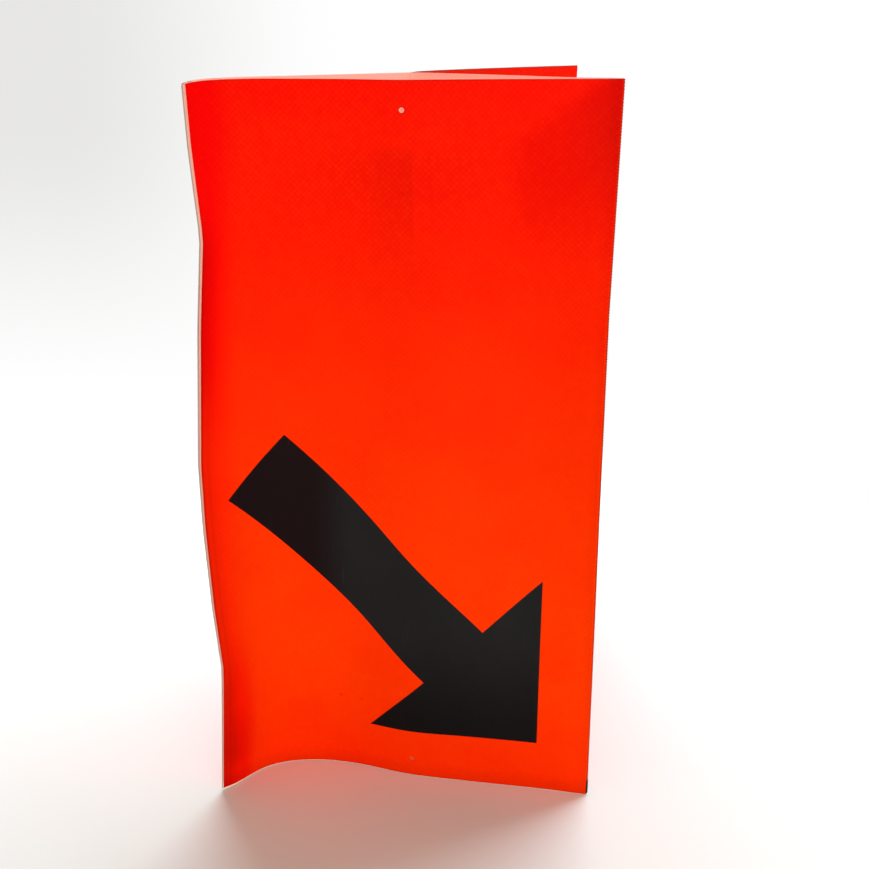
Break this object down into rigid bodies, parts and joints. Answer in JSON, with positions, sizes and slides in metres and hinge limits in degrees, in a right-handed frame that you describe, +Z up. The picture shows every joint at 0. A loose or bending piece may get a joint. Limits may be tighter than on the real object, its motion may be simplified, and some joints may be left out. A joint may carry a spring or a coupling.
{
  "type": "flexible folding arrow sign",
  "caption": "Free-standing flexible sign of hinged orange panels that fold round a triangle in plan, with a black arrow pointing down to one side and a closing panel.",
  "frame": {"origin": "middle of the footprint on the ground, with the closing panel standing open", "axes": "+Z up; +X along the front panel from its left corner to its right fold; +Y from the front panel towards the rear fold"},
  "size_m": [0.3482, 0.5573, 0.6],
  "materials": {
    "sheet_core": "satin pale flexible sheet with the film showing through",
    "orange_film": "fluorescent red-orange prismatic film",
    "black_film": "black film",
    "label_black": "plain black label",
    "hinge_tape": "translucent white tape"
  },
  "bodies": {
    "front": {"front_core": "sheet_core", "front_film": "orange_film", "front_arrow": "black_film", "right_fold_core": "sheet_core", "right_fold_film": "orange_film", "left_hinge_tape": "hinge_tape"},
    "right": {"right_core": "sheet_core", "right_film": "orange_film", "right_arrow": "black_film", "corner_label": "label_black", "rear_fold_core": "sheet_core", "rear_fold_film": "orange_film"},
    "closing": {"closing_core": "sheet_core", "closing_film": "orange_film", "closing_arrow": "black_film"},
    "left": {"left_core": "sheet_core", "left_film": "orange_film"}
  },
  "joints": [
    {"name": "left_fold", "type": "hinge", "parent": "front", "child": "left", "pos_m": [-0.17349, -0.27678, 0], "axis": [0, 0, 1], "range_deg": [0, 119.7], "deforming": ["left_hinge_tape"]},
    {"name": "right_fold", "type": "hinge", "parent": "front", "child": "right", "pos_m": [0.14651, -0.27783, 0], "axis": [0, 0, -1], "range_deg": [0, 119], "deforming": ["right_fold_core", "right_fold_film"]},
    {"name": "rear_fold", "type": "hinge", "parent": "right", "child": "closing", "pos_m": [-0.01349, 0.01079, 0], "axis": [0, 0, 1], "range_deg": [-60, 185.2], "deforming": ["rear_fold_core", "rear_fold_film"]}
  ]
}
